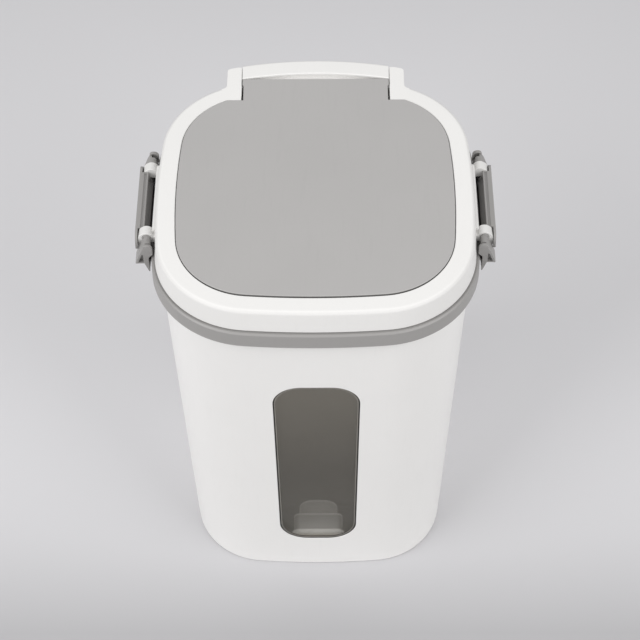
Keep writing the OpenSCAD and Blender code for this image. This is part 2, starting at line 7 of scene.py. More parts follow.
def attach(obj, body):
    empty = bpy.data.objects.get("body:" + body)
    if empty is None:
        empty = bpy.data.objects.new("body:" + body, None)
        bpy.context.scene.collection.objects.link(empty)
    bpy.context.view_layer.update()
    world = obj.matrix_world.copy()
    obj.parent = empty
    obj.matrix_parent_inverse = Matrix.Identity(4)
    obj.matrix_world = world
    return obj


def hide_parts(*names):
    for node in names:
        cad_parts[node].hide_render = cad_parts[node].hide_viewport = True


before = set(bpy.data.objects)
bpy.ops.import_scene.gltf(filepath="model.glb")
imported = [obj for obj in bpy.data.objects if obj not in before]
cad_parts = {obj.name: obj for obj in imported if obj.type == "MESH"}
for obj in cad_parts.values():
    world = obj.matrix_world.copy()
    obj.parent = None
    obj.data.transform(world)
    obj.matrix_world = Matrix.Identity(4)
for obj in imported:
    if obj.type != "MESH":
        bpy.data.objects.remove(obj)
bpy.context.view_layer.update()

# Rice bin with a flip lid: a tapered tub with a window, a snap-on collar, a lid ring that carries
# the flip lid and two side latches, a desiccant box under the lid, and a measuring cup on the
# tub's floor. Sizes are millimetres, +X right, +Y to the hinge, +Z up; the meshes are metres.
MM = 0.001

# ---- Sizes ----

# The lid's outline: half its width and depth, the radii of its corners and bowed sides, and the
# steps of each arc.
HALF_W = 125.0
HALF_D = 124.0
CORNER_R = 76.0
SIDE_R = 650.0
ARC_STEPS = 24

# Heights, from the top down
RING_WALL = 2.4
TOP = 371.0
RING_TOP = TOP - 0.6
BASE_TOP = TOP - 3.2
BASE_Z = BASE_TOP - 2.6
LEDGE_Z = BASE_Z - 0.3
LEDGE_UNDER = LEDGE_Z - RING_WALL
LIP_Z = LEDGE_Z - 9
SKIRT_Z = RING_TOP - 20
RIM_Z = SKIRT_Z + 2.1
SEAL_TOP = RIM_Z + 4
SPIGOT_Z = SEAL_TOP - 15
COLLAR_TOP = SKIRT_Z - 1.1
COLLAR_Z = COLLAR_TOP - 14

# Tub; an inset is a distance inwards from the lid's outline
TUB_TOP_INSET = 3.8
TUB_TAPER = 10.8
FOOT_INSET = TUB_TOP_INSET + TUB_TAPER
TUB_WALL = 2.6
FLOOR_Z = 5.0
UNDER_Z = 2.0
STAND_W = 16.0
NECK_STEP = 1.2
NECK_WALL = 2.4
NECK_FOOT_Z = 330.5
PAD_R = 30.0
FOOT_R = 8.0
FOOT_WALL = 2.5
FOOT_AT = 68.0

# Window
WINDOW_Z0 = 43.5
WINDOW_Z1 = 274.5
WINDOW_W = 70.0
WINDOW_NARROW = 4.0
WINDOW_R = 23.8
GASKET_W = 1.0
PANE_SET = 0.6
FLANGE_W = 6.0
FLANGE_T = 1.8
BEAD_R = 0.4

# Collar, which stands out past the lid's outline
COLLAR_INSET = -3.0
COLLAR_WALL = 2.4

# Lid ring, with its notch, its ears and the pockets beside them
SKIRT_LEAN = 2.3
SEAL_INSET = RING_WALL + SKIRT_LEAN / 2
SPIGOT_INSET = TUB_TOP_INSET + NECK_STEP + NECK_WALL + 0.8
RECESS = 17.0
MOUTH = RECESS + 9
TONGUE_W = 119.0
NOTCH_X = TONGUE_W / 2 + 0.6
POCKET_X = NOTCH_X - 2.7
POCKET_FRONT = 102.6
POCKET_BACK = 116.8
POCKET_Z = 357.9
POCKET_WALL = 1.2
EAR_END = NOTCH_X + 12
EAR_ROOT_Y = 118.8
EAR_BACK_Y = HALF_D + 14.5
EAR_Z = 355.3
FILLET_R = 4.5

# Hinge and the underside of the flip lid
HINGE_Y = HALF_D + 7
HINGE_Z = TOP - 8.7
BARREL_R = 5.5
PIN_R = 2.4
PIN_GAP = 0.08
PIN_END = EAR_END - 2.8
PIN_START = PIN_END - 28
SEAM = 0.5
SEAM_MORE = 1.17
TONGUE_FRONT = 117.5
PLUG_OUT = MOUTH + 2.4
PLUG_IN = PLUG_OUT + 2.2
PLUG_Z = BASE_Z - 8
PLUG_FLANGE_Z = PLUG_Z + 1.2
STRIP_BACK = 146.3
STRIP_FRONT = STRIP_BACK - 16.2
STRIP_Z = 362.8
STRIP_BOW = 6.1
GROOVE_Z = 365.4

# Latches: their axis, the lugs' ends along it, the leg with its hook, and the finger plate
LATCH_X = HALF_W + 4.4
LATCH_Z = SKIRT_Z + 8.4
STUB_R = 3.2
LUG_R = 5.2
LUG_MID = 33.5
LUG_START = LUG_MID - 4
LUG_END = LUG_MID + 4
LEG_X = HALF_W - COLLAR_INSET + 0.6
WEB_X = LEG_X + 2.7
HOOK_Z = COLLAR_Z - 0.6
HOOK_H = 5.0
HOOK_REACH = 4.6
WEB_HALF = LUG_START - 0.3
PLATE_HALF = LUG_END + 2.5
PLATE_Z = LATCH_Z - 14.8
PLATE_TOP = LATCH_Z + 2.6
LEG_END = 45.2
HOOD_END = LUG_END + 12.5

# Desiccant box
TRAY_R = 36.0
TRAY_Z = BASE_Z - 14
TRAY_WALL = 1.8
PACK_TOP = BASE_Z - 3.3
PACK_Z = TRAY_Z + 0.1
COVER_Z = TRAY_Z - 0.3
COVER_T = 1.6
COVER_RING_R = TRAY_R - TRAY_WALL - 0.3
COVER_RING_T = 1.5
COVER_RING_H = 3.0
COVER_SLOTS = 10

# Measuring cup, along its length from the mouth
CUP_W = 43.0
CUP_H = 34.0
CUP_R = 5.5
CUP_FOOT_R = 12.0
CUP_RIM = 1.5
CUP_STEP = 4.5
CUP_WALL = 1.4
CUP_LIP_L = 3.5
CUP_STEP_L = 20.0
CUP_L = 38.0
CUP_Y = -103.4
CUP_Z = FLOOR_Z + 0.3 + CUP_H / 2 + CUP_RIM


# ---- Outlines ----

# The outline is eight tangent arcs: four bowed sides and four corners.
slope = (SIDE_R - HALF_W) / (SIDE_R - HALF_D)
shift = ((SIDE_R - HALF_W) ** 2 - (SIDE_R - HALF_D) ** 2) / 2 / (SIDE_R - HALF_D)
quad_a = 1 + slope ** 2
quad_b = 2 * (SIDE_R - HALF_W + slope * shift)
quad_c = (SIDE_R - HALF_W) ** 2 + shift ** 2 - (SIDE_R - CORNER_R) ** 2
CORNER_X = (math.sqrt(quad_b ** 2 - 4 * quad_a * quad_c) - quad_b) / 2 / quad_a
CORNER_Y = slope * CORNER_X + shift
SIDE_END = math.atan2(CORNER_Y, CORNER_X + SIDE_R - HALF_W)
BACK_END = math.atan2(CORNER_Y + SIDE_R - HALF_D, CORNER_X)
PI = math.pi

# The ears start just behind the place where the recess meets their outer sides.
EAR_FRONT = CORNER_Y + math.sqrt((CORNER_R - RECESS) ** 2 - (EAR_END - CORNER_X) ** 2) + 0.2
ARCS = [
    ((HALF_W - SIDE_R, 0), SIDE_R, -SIDE_END, SIDE_END),
    ((CORNER_X, CORNER_Y), CORNER_R, SIDE_END, BACK_END),
    ((0, HALF_D - SIDE_R), SIDE_R, BACK_END, PI - BACK_END),
    ((-CORNER_X, CORNER_Y), CORNER_R, PI - BACK_END, PI - SIDE_END),
    ((SIDE_R - HALF_W, 0), SIDE_R, PI - SIDE_END, PI + SIDE_END),
    ((-CORNER_X, -CORNER_Y), CORNER_R, PI + SIDE_END, PI + BACK_END),
    ((0, SIDE_R - HALF_D), SIDE_R, PI + BACK_END, 2 * PI - BACK_END),
    ((CORNER_X, -CORNER_Y), CORNER_R, 2 * PI - BACK_END, 2 * PI - SIDE_END)]


def outline(inset):
    """Points of the lid's outline, moved inwards by inset."""
    points = []
    for (x, y), radius, start, end in ARCS:
        for i in range(ARC_STEPS):
            t = start + (end - start) * i / ARC_STEPS
            points.append((x + (radius - inset) * math.cos(t), y + (radius - inset) * math.sin(t)))
    return points


def circle(x, y, radius, start=0.0, end=360.0, steps=64):
    """Points of an arc, in degrees; a full circle leaves its last point out."""
    count = steps if abs(end - start) >= 360 else steps + 1
    turn = [math.radians(start + (end - start) * i / steps) for i in range(count)]
    return [(x + radius * math.cos(t), y + radius * math.sin(t)) for t in turn]


def rounded(corners, steps):
    """A polygon whose corners are (x, y, radius), with each corner rounded by an arc."""
    points = []
    for i, (x, y, radius) in enumerate(corners):
        here = Vector((x, y))
        if radius == 0:
            points.append((x, y))
            continue
        u = (Vector(corners[i - 1][:2]) - here).normalized()
        v = (Vector(corners[(i + 1) % len(corners)][:2]) - here).normalized()
        half = math.acos(max(-1, min(1, u.dot(v)))) / 2
        centre = here + (u + v).normalized() * radius / math.sin(half)
        start = here + u * radius / math.tan(half) - centre
        side = v.x * u.y - v.y * u.x
        turn = math.copysign(PI - 2 * half, side)
        t = math.atan2(start.y, start.x)
        for k in range(steps + 1):
            a = t + turn * k / steps
            points.append((centre.x + radius * math.cos(a), centre.y + radius * math.sin(a)))
    return points


def rectangle(x0, x1, y0, y1):
    """The four corners between two places across and two places along."""
    return [(x0, y0), (x1, y0), (x1, y1), (x0, y1)]


def on_side(way, near, far):
    """A stretch beside the bin's middle, on the side that way gives, its lower end first."""
    return sorted((way * near, way * far))


def tub_face(z):
    """Inset of the tub's outer face at a height."""
    return TUB_TOP_INSET + TUB_TAPER * (1 - z / COLLAR_Z)


def window_outline(grow):
    """Outline of the window, grown by a margin."""
    low = (WINDOW_W - WINDOW_NARROW) / 2 + grow
    high = WINDOW_W / 2 + grow
    r = WINDOW_R + grow
    return rounded([
        (-low, WINDOW_Z0 - grow, r), (low, WINDOW_Z0 - grow, r),
        (high, WINDOW_Z1 + grow, r), (-high, WINDOW_Z1 + grow, r)], steps=16)


# The pins' bores, with their corners turned by 3 degrees from those of the pins.
HINGE_BORE = circle(HINGE_Y, HINGE_Z, PIN_R + PIN_GAP, 3, 363)


# ---- Modelling helpers ----

def pick(*pieces):
    """Select these pieces alone, the first one active."""
    bpy.ops.object.select_all(action="DESELECT")
    for piece in pieces:
        piece.select_set(True)
    bpy.context.view_layer.objects.active = pieces[0]


def tidy(piece):
    """Merge doubled points and turn the faces outwards."""
    pick(piece)
    bpy.ops.object.mode_set(mode="EDIT")
    bpy.ops.mesh.select_all(action="SELECT")
    bpy.ops.mesh.remove_doubles(threshold=2e-6)
    bpy.ops.mesh.normals_make_consistent(inside=False)
    bpy.ops.object.mode_set(mode="OBJECT")


def flat_curve(name, loops, closed=True):
    """A flat curve through lists of points."""
    data = bpy.data.curves.new(name, "CURVE")
    data.dimensions = "2D"
    for loop in loops:
        spline = data.splines.new("POLY")
        spline.points.add(len(loop) - 1)
        for point, (x, y) in zip(spline.points, loop):
            point.co = (x * MM, y * MM, 0, 1)
        spline.use_cyclic_u = closed
    curve = bpy.data.objects.new(name, data)
    bpy.context.scene.collection.objects.link(curve)
    return curve


def outline_path():
    """The lid's outline as a closed curve of eight arcs, run clockwise."""
    bpy.ops.object.select_all(action="DESELECT")
    bpy.ops.curve.primitive_bezier_circle_add(radius=1, enter_editmode=True)
    bpy.ops.curve.subdivide(number_cuts=1)
    bpy.ops.object.mode_set(mode="OBJECT")
    path = bpy.context.object
    points = path.data.splines[0].bezier_points
    reach = [4 / 3 * math.tan((arc[3] - arc[2]) / 4) * arc[1] for arc in ARCS]
    for k, (centre, radius, start, _) in enumerate(ARCS):
        point = points[-k]
        x = centre[0] + radius * math.cos(start)
        y = centre[1] + radius * math.sin(start)
        place = Vector((x, y, 0))
        along = Vector((-math.sin(start), math.cos(start), 0))
        point.handle_left_type = "FREE"
        point.handle_right_type = "FREE"
        point.co = place * MM
        point.handle_left = (place + along * reach[k]) * MM
        point.handle_right = (place - along * reach[k - 1]) * MM
    path.data.resolution_u = ARC_STEPS
    return path


def swept(name, section, path=None, closed=True):
    """A section of (inset, z) points carried round the lid's outline or another path."""
    path = path or outline_path()
    profile = flat_curve("profile", [section], closed)
    path.data.dimensions = "3D"
    path.data.twist_mode = "Z_UP"
    path.data.bevel_mode = "OBJECT"
    path.data.bevel_object = profile
    pick(path)
    bpy.ops.object.convert(target="MESH")
    piece = bpy.context.object
    piece.name = name
    bpy.ops.object.transform_apply(location=True, rotation=True, scale=True)
    bpy.data.objects.remove(profile)
    tidy(piece)
    return piece


def turned(name, profile, x=0.0, y=0.0, closed=False, steps=20):
    """A profile of (radius, z) points turned round an upright axis."""
    reach = max(p[0] for p in profile) * 1.5
    bpy.ops.object.select_all(action="DESELECT")
    bpy.ops.curve.primitive_bezier_circle_add(radius=reach * MM, location=(x * MM, y * MM, 0))
    path = bpy.context.object
    path.data.resolution_u = steps
    piece = swept(name, [(reach - r, z) for r, z in profile], path, closed)
    # What lies on the axis is drawn to one point, which the merge then closes.
    for vertex in piece.data.vertices:
        if math.hypot(vertex.co.x - x * MM, vertex.co.y - y * MM) < 0.1 * MM:
            vertex.co.x = x * MM
            vertex.co.y = y * MM
    tidy(piece)
    return piece


def area(loop):
    """Signed area of a loop of points."""
    return sum(a[0] * b[1] - b[0] * a[1] for a, b in zip(loop, loop[1:] + loop[:1])) / 2


def slab(name, loops, low, high, along="Z", edge=0.0, rounds=3):
    """A plate with the outline of a closed loop, its edges rounded; further loops are holes.

    Loops lie in XY for a plate along Z, in YZ along X and in XZ along Y.
    """
    if isinstance(loops[0][0], (int, float)):
        loops = [loops]
    inner = [loop if area(loop) < 0 else loop[::-1] for loop in loops[1:]]
    outer = loops[0] if area(loops[0]) > 0 else loops[0][::-1]
    curve = flat_curve(name, [outer] + inner)
    curve.data.fill_mode = "BOTH"
    curve.data.extrude = ((high - low) / 2 - edge) * MM
    curve.data.bevel_depth = edge * MM
    curve.data.bevel_resolution = rounds - 1
    curve.data.offset = -edge * MM
    middle = (low + high) / 2 * MM
    angles, place = {
        "X": ((90, 0, 90), (middle, 0, 0)),
        "Y": ((90, 0, 0), (0, middle, 0)),
        "Z": ((0, 0, 0), (0, 0, middle))}[along]
    curve.rotation_euler = [math.radians(angle) for angle in angles]
    curve.location = place
    pick(curve)
    bpy.ops.object.convert(target="MESH")
    piece = bpy.context.object
    piece.name = name
    bpy.ops.object.transform_apply(location=True, rotation=True, scale=True)
    tidy(piece)
    bpy.ops.object.mode_set(mode="EDIT")
    bpy.ops.mesh.select_all(action="SELECT")
    bpy.ops.mesh.dissolve_limited(angle_limit=math.radians(0.2))
    bpy.ops.object.mode_set(mode="OBJECT")
    return piece


def combine(piece, others, operation="UNION"):
    """Add other pieces to a piece, cut them out of it, or keep what they share."""
    for other in others:
        modifier = piece.modifiers.new("combine", "BOOLEAN")
        modifier.operation = operation
        modifier.solver = "EXACT"
        modifier.object = other
        pick(piece)
        bpy.ops.object.modifier_apply(modifier=modifier.name)
        bpy.data.objects.remove(other)
    return piece


def cut(piece, *others):
    """Cut other pieces out of a piece."""
    combine(piece, others, "DIFFERENCE")


def join(piece, *others):
    """Make one mesh of pieces that sit on each other."""
    pick(piece, *others)
    bpy.ops.object.join()


def sliced(piece, places):
    """Cut lines across a piece at these places in X, so that it can be bent."""
    pick(piece)
    bpy.ops.object.mode_set(mode="EDIT")
    for place in places:
        bpy.ops.mesh.select_all(action="SELECT")
        bpy.ops.mesh.bisect(plane_co=(place * MM, 0, 0), plane_no=(1, 0, 0))
    bpy.ops.object.mode_set(mode="OBJECT")


def on_front(x, z, depth):
    """Y of a point at a depth behind the tub's front face."""
    return SIDE_R - HALF_D - math.sqrt((SIDE_R - tub_face(z) - depth) ** 2 - x ** 2)


def laid_on_front(piece):
    """Lay a flat piece, drawn with its depth as Y, on the bowed and leaning front wall."""
    sliced(piece, range(-48, 49, 4))
    for vertex in piece.data.vertices:
        x, depth, z = vertex.co / MM
        vertex.co.y = on_front(x, z, depth) * MM
    tidy(piece)


def mirrored(piece, name):
    """A copy of a piece on the other side of the bin, with its own mesh."""
    pick(piece)
    bpy.ops.object.duplicate()
    copy = bpy.context.object
    copy.name = name
    copy.scale.x = -1
    bpy.ops.object.transform_apply(location=False, rotation=False, scale=True)
    tidy(copy)
    return copy


def smooth(piece, angle):
    """Shade a piece smooth, apart from its sharp edges, with flat faces kept flat."""
    pick(piece)
    bpy.ops.object.shade_smooth_by_angle(angle=math.radians(angle))
    modifier = piece.modifiers.new("even shading", "WEIGHTED_NORMAL")
    modifier.keep_sharp = True
    bpy.ops.object.modifier_apply(modifier=modifier.name)


def fit(piece, body, material_slot, finish, *nodes, angle=32):
    """Finish a piece and tell the frame what it rides on and what it stands for."""
    smooth(piece, angle)
    piece.data.materials.clear()
    piece.data.materials.append(finish)
    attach(piece, body)
    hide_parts(*nodes)


# ---- Camera ----

ELEVATION = math.radians(51.295)
YAW = math.radians(0.4583)
ROLL = math.radians(-0.57196)
DISTANCE = 1.53565
AIM = Vector((0.00262, -0.00537, 0.21746))
swing = Matrix.Rotation(YAW, 3, "Z")
back = swing @ Vector((0, -math.cos(ELEVATION), math.sin(ELEVATION)))
level = swing @ Vector((1, 0, 0))
upward = back.cross(level)
right = math.cos(ROLL) * level + math.sin(ROLL) * upward
up = math.cos(ROLL) * upward - math.sin(ROLL) * level
bpy.ops.object.camera_add(location=AIM + DISTANCE * back)
camera = bpy.context.object
camera.rotation_euler = Matrix((right, up, back)).transposed().to_euler()
camera.data.lens = 103.307
camera.data.sensor_width = 36
camera.data.sensor_fit = "HORIZONTAL"
bpy.context.scene.camera = camera


# ---- Finishes ----

class Value:
    """A number or vector from a node, which takes part in plain arithmetic."""

    def __init__(self, tree, socket):
        self.tree = tree
        self.socket = socket

    def maths(self, operation, *values):
        node = self.tree.nodes.new("ShaderNodeMath")
        node.operation = operation
        for entry, value in zip(node.inputs, values):
            if isinstance(value, Value):
                self.tree.links.new(value.socket, entry)
            else:
                entry.default_value = value
        return Value(self.tree, node.outputs[0])

    def __add__(self, other):
        return self.maths("ADD", self, other)

    def __radd__(self, other):
        return self.maths("ADD", other, self)

    def __sub__(self, other):
        return self.maths("SUBTRACT", self, other)

    def __rsub__(self, other):
        return self.maths("SUBTRACT", other, self)

    def __mul__(self, other):
        return self.maths("MULTIPLY", self, other)

    def __rmul__(self, other):
        return self.maths("MULTIPLY", other, self)

    def magnitude(self):
        return self.maths("ABSOLUTE", self)

    def at_least(self, other):
        return self.maths("MAXIMUM", self, other)

    def limited(self, low, high):
        return self.maths("MINIMUM", self.at_least(low), high)

    def clamped(self):
        return self.limited(0.0, 1.0)


class Finish:
    """A material whose nodes are laid by name."""

    def __init__(self, name):
        self.material = bpy.data.materials.new(name)
        self.material.use_nodes = True
        self.tree = self.material.node_tree
        self.tree.nodes.clear()

    def add(self, kind, output, settings=None, values=None):
        """One node: its settings first, then the values or links of its sockets."""
        node = self.tree.nodes.new(kind)
        for name, value in (settings or {}).items():
            setattr(node, name, value)
        for name, value in (values or {}).items():
            if isinstance(value, Value):
                self.tree.links.new(value.socket, node.inputs[name])
            else:
                node.inputs[name].default_value = value
        return Value(self.tree, node.outputs[output])

    def place(self):
        return self.add("ShaderNodeTexCoord", "Object")

    def measured(self, at, axis):
        """How far along an axis a place is, in metres."""
        return self.add("ShaderNodeSeparateXYZ", axis, {}, {0: at})

    def stretched(self, at, *scale):
        """A place scaled along each axis, for fibres, scuffs and drawn lines."""
        return self.add("ShaderNodeMapping", 0, {}, {"Vector": at, "Scale": scale})

    def noise(self, scale, detail=2.0, at=None, roughness=0.5):
        return self.add("ShaderNodeTexNoise", 0, {}, {
            "Vector": at or self.place(), "Scale": scale, "Detail": detail, "Roughness": roughness})

    def tinted(self, colour, shade):
        """A plain colour made lighter or darker by a varying factor."""
        return self.add("ShaderNodeVectorMath", 0, {"operation": "SCALE"}, {0: colour, "Scale": shade})

    def bump(self, height, distance, strength):
        return self.add("ShaderNodeBump", 0, {}, {
            "Height": height, "Distance": distance, "Strength": strength})

    def done(self, **values):
        """Close the material with a shader that takes these values."""
        named = {name.replace("_", " ").title(): value for name, value in values.items()}
        shader = self.add("ShaderNodeBsdfPrincipled", 0, {}, named)
        output = self.tree.nodes.new("ShaderNodeOutputMaterial")
        self.tree.links.new(shader.socket, output.inputs["Surface"])
        return self.material


def moulded(name, colour, low, high, grain=0.00005, mottle=0.02, painted_skirt_shade=0.0, seam=0.0, **more):
    """Injection-moulded plastic: a fine spark-eroded grain, soft flow clouds and faint scuffs.

    It carries painted shade: it is darker by a given share below the ring's top, over the shoulder and
    skirt, and by another share on the walls deep in the seam round the lid's front.
    """
    f = Finish(name)
    at = f.place()
    clouds = f.noise(14.0, 3.0, at)
    specks = f.noise(700.0, 2.0, at)
    fine = f.noise(2400.0, 1.5, at)
    scuffs = ((f.noise(1.0, 4.0, f.stretched(at, 260.0, 26.0, 26.0), 0.6) - 0.56) * 9).clamped()
    shade = 1 + (clouds - 0.5) * mottle * 2 + (specks - 0.5) * mottle - scuffs * mottle * 0.4
    # Painted shade: below the ring's top the shoulder and skirt are darkened for how the light falls on
    # them.
    if painted_skirt_shade:
        under_top = (RING_TOP - 0.1) * MM - f.measured(at, 2)
        shade = shade - (under_top * 1500).clamped() * painted_skirt_shade
    # Painted shade: the side walls deep in the seam round the front of the lid are darkened where shade
    # falls.
    if seam:
        under_face = ((TOP - 0.35) * MM - f.measured(at, 2)) * 3000
        front = (-50 * MM - f.measured(at, 1)) * 25
        shade = shade * (1 - under_face.clamped() * front.clamped() * seam)
    roughness = low + clouds * (high - low) + (specks - 0.5) * 0.05 + scuffs * 0.05
    relief = fine * 0.75 + specks * 0.5
    return f.done(base_color=f.tinted(colour, shade), roughness=roughness,
                  normal=f.bump(relief, grain, 0.5), **more)


def rubber(name, colour, roughness):
    """Soft moulded rubber: matt, faintly dusty, with a fine skin."""
    f = Finish(name)
    at = f.place()
    dust = ((f.noise(60.0, 4.0, at) - 0.45) * 3).clamped()
    skin = f.noise(1500.0, 2.0, at)
    return f.done(base_color=f.tinted(colour, 1 + dust * 0.35), roughness=roughness + dust * 0.12,
                  normal=f.bump(skin, 0.00008, 0.5))


def frosted(name, colour):
    """The sanded edge of a clear sheet: dull, with a faint ripple and dust; given a paler colour than the
    pane, its tone is partly a painted highlight.
    """
    f = Finish(name)
    at = f.place()
    ripple = f.noise(9.0, 1.0, at)
    dust = ((f.noise(240.0, 4.0, at) - 0.55) * 4).clamped()
    return f.done(base_color=f.tinted(colour, 1 + (ripple - 0.5) * 0.06 + dust * 0.08),
                  roughness=0.4 + ripple * 0.04 + dust * 0.10,
                  alpha=0.75 + dust * 0.02, normal=f.bump(ripple, 0.0004, 0.3))


def smoked(name, colour):
    """The pane: smoked clear plastic, made paler towards its top and along the lip at its foot by painted
    light.
    """
    f = Finish(name)
    at = f.place()
    height = f.measured(at, 2)
    ripple = f.noise(9.0, 1.0, at)
    dust = ((f.noise(240.0, 4.0, at) - 0.55) * 4).clamped()
    # Painted light lightens the upper pane and the lip at its foot; the upper pane is also made a little
    # more opaque.
    painted_top_light = ((height - 150 * MM) * 9).clamped() * 0.50
    clear = ((110 * MM - height) * 16).clamped() * 0.20
    painted_lip_light = (((WINDOW_Z0 + 12.5) * MM - height) * 300).clamped() * 0.30
    shade = 0.97 + ripple * 0.06 + dust * 0.08 + painted_top_light + painted_lip_light
    return f.done(base_color=f.tinted(colour, shade), roughness=0.10 + ripple * 0.04 + dust * 0.10,
                  alpha=0.44 - clear + painted_top_light * 0.2 + dust * 0.02,
                  normal=f.bump(ripple, 0.0004, 0.3), coat_weight=0.3)


def cup_plastic(name, colour):
    """Frosted clear plastic, milky at the rim and the steps, where a painted highlight also lightens it; a
    faint painted glow stands in for light.
    """
    f = Finish(name)
    at = f.place()
    along = f.measured(at, 1)
    clouds = f.noise(40.0, 3.0, at)
    foot = ((along - (CUP_Y + CUP_STEP_L - 0.6) * MM) * 800).clamped()
    # The rim and the step edges are paler and more opaque: partly milkier plastic, partly a painted
    # highlight.
    milky_rim_and_highlight = (((CUP_Y + CUP_LIP_L + 0.1) * MM - along) * 4000).clamped()
    painted_crest_glow = milky_rim_and_highlight * ((along - (CUP_Y + 1) * MM) * 1500).clamped()
    for edge in (CUP_Y + CUP_STEP_L - 0.2, CUP_Y + CUP_L - CUP_WALL):
        milky_rim_and_highlight = milky_rim_and_highlight.at_least((1 - (along - edge * MM).magnitude() * 600).clamped())
    # Painted light: a faint glow, strongest on the rim's crest and over the foot.
    painted_glow = 0.05 + foot * 0.05 + milky_rim_and_highlight * 0.10 + painted_crest_glow * 0.12
    return f.done(base_color=f.tinted(colour, 0.92 + clouds * 0.06 + milky_rim_and_highlight * 0.2),
                  roughness=0.32 + clouds * 0.1, alpha=0.90 + milky_rim_and_highlight * 0.1,
                  normal=f.bump(clouds, 0.0002, 0.3),
                  emission_color=f.tinted(colour, painted_glow), emission_strength=1.0)


def brushed(name, colour):
    """Drawn steel wire with fine lines round it."""
    f = Finish(name)
    lines = f.noise(1.0, 3.0, f.stretched(f.place(), 6000.0, 300.0, 300.0))
    return f.done(base_color=f.tinted(colour, 0.9 + lines * 0.2), metallic=1.0,
                  roughness=0.22 + lines * 0.16, normal=f.bump(lines, 0.00002, 0.5))


def fibrous(name, colour):
    """Bonded paper: short crossed fibres and a soft crumple."""
    f = Finish(name)
    at = f.place()
    one = f.noise(1.0, 3.0, f.stretched(at, 2200.0, 300.0, 300.0))
    two = f.noise(1.0, 3.0, f.stretched(at, 300.0, 2200.0, 300.0))
    crumple = f.noise(90.0, 3.0, at)
    fibres = one * 0.5 + two * 0.5
    shade = 0.92 + fibres * 0.12 + crumple * 0.04
    return f.done(base_color=f.tinted(colour, shade), roughness=0.85,
                  normal=f.bump(fibres * 0.4 + crumple, 0.0006, 0.5))


SHEEN = {"coat_weight": 0.12, "coat_roughness": 0.25}
OFF_WHITE = (0.86, 0.85, 0.835)
WARM_GREY = (0.450, 0.440, 0.433)
WHITE = moulded("white moulded plastic", OFF_WHITE, 0.30, 0.40, **SHEEN)
TUB_WHITE = moulded("white tub plastic", (0.848, 0.838, 0.823), 0.30, 0.40, **SHEEN)
# The ring's white carries painted shade on its shoulder and skirt.
RING_WHITE = moulded("white satin plastic", OFF_WHITE, 0.52, 0.62, painted_skirt_shade=0.105)
# The lid panel's grey carries painted shade deep in the seam at its front.
LID_GREY = moulded("warm grey lid plastic", WARM_GREY, 0.42, 0.52, 0.00008, 0.03, seam=0.6)
PANEL_GREY = moulded("warm grey satin plastic", WARM_GREY, 0.42, 0.52, 0.00008, 0.03)
TRIM_GREY = moulded("grey satin plastic", (0.322, 0.313, 0.305), 0.40, 0.50, 0.00007, 0.03)
SMOKED = smoked("smoked clear plastic", (0.135, 0.124, 0.103))
FROSTED_AND_HIGHLIGHT = frosted("frosted edge of the pane", (0.30, 0.285, 0.26))
CUP_CLEAR = cup_plastic("frosted clear plastic", (0.84, 0.82, 0.78))
BLACK_RUBBER = rubber("black rubber", (0.022, 0.021, 0.02), 0.62)
SILICONE = rubber("milky silicone", (0.56, 0.55, 0.53), 0.5)
STEEL = brushed("drawn steel", (0.60, 0.60, 0.61))
PAPER = fibrous("bonded paper", (0.82, 0.81, 0.78))


# ---- Tub ----

neck_inset = TUB_TOP_INSET + NECK_STEP
neck_in = neck_inset + NECK_WALL
floor_inset = tub_face(FLOOR_Z) + TUB_WALL
tub_section = rounded([
    (FOOT_INSET + STAND_W, UNDER_Z, 0),
    (FOOT_INSET + STAND_W, 0, 0.8),
    (FOOT_INSET, 0, 2.5),
    (TUB_TOP_INSET, COLLAR_Z, 0),
    (neck_inset, COLLAR_Z, 0),
    (neck_inset, RIM_Z, 0.6),
    (neck_in, RIM_Z, 0.8),
    (neck_in, COLLAR_Z - 1.2, 3),
    (tub_face(NECK_FOOT_Z) + TUB_WALL, NECK_FOOT_Z, 3),
    (floor_inset, FLOOR_Z, 4),
    (floor_inset + 8, FLOOR_Z, 0)], steps=5)
tub = swept("tub", tub_section, closed=False)

# Close the middle of the floor, which the section leaves open above and below.
bpy.ops.object.mode_set(mode="EDIT")
bpy.ops.mesh.select_all(action="DESELECT")
bpy.ops.mesh.select_non_manifold()
bpy.ops.mesh.fill_holes(sides=0)
bpy.ops.object.mode_set(mode="OBJECT")
tidy(tub)
cut(tub, slab("window cut", window_outline(0), -HALF_D - 1, -HALF_D + 30, "Y"))

# A soft bead rounds the edge of the window's opening.
bead = flat_curve("bead", [window_outline(0)])
bead.data.dimensions = "3D"
bead.data.bevel_depth = BEAD_R * MM
bead.data.bevel_resolution = 2
bead.rotation_euler.x = math.radians(90)
pick(bead)
bpy.ops.object.convert(target="MESH")
bead = bpy.context.object
bpy.ops.object.transform_apply(location=True, rotation=True, scale=True)
for vertex in bead.data.vertices:
    x, depth, z = vertex.co / MM
    vertex.co.y = on_front(x, z, depth + BEAD_R) * MM

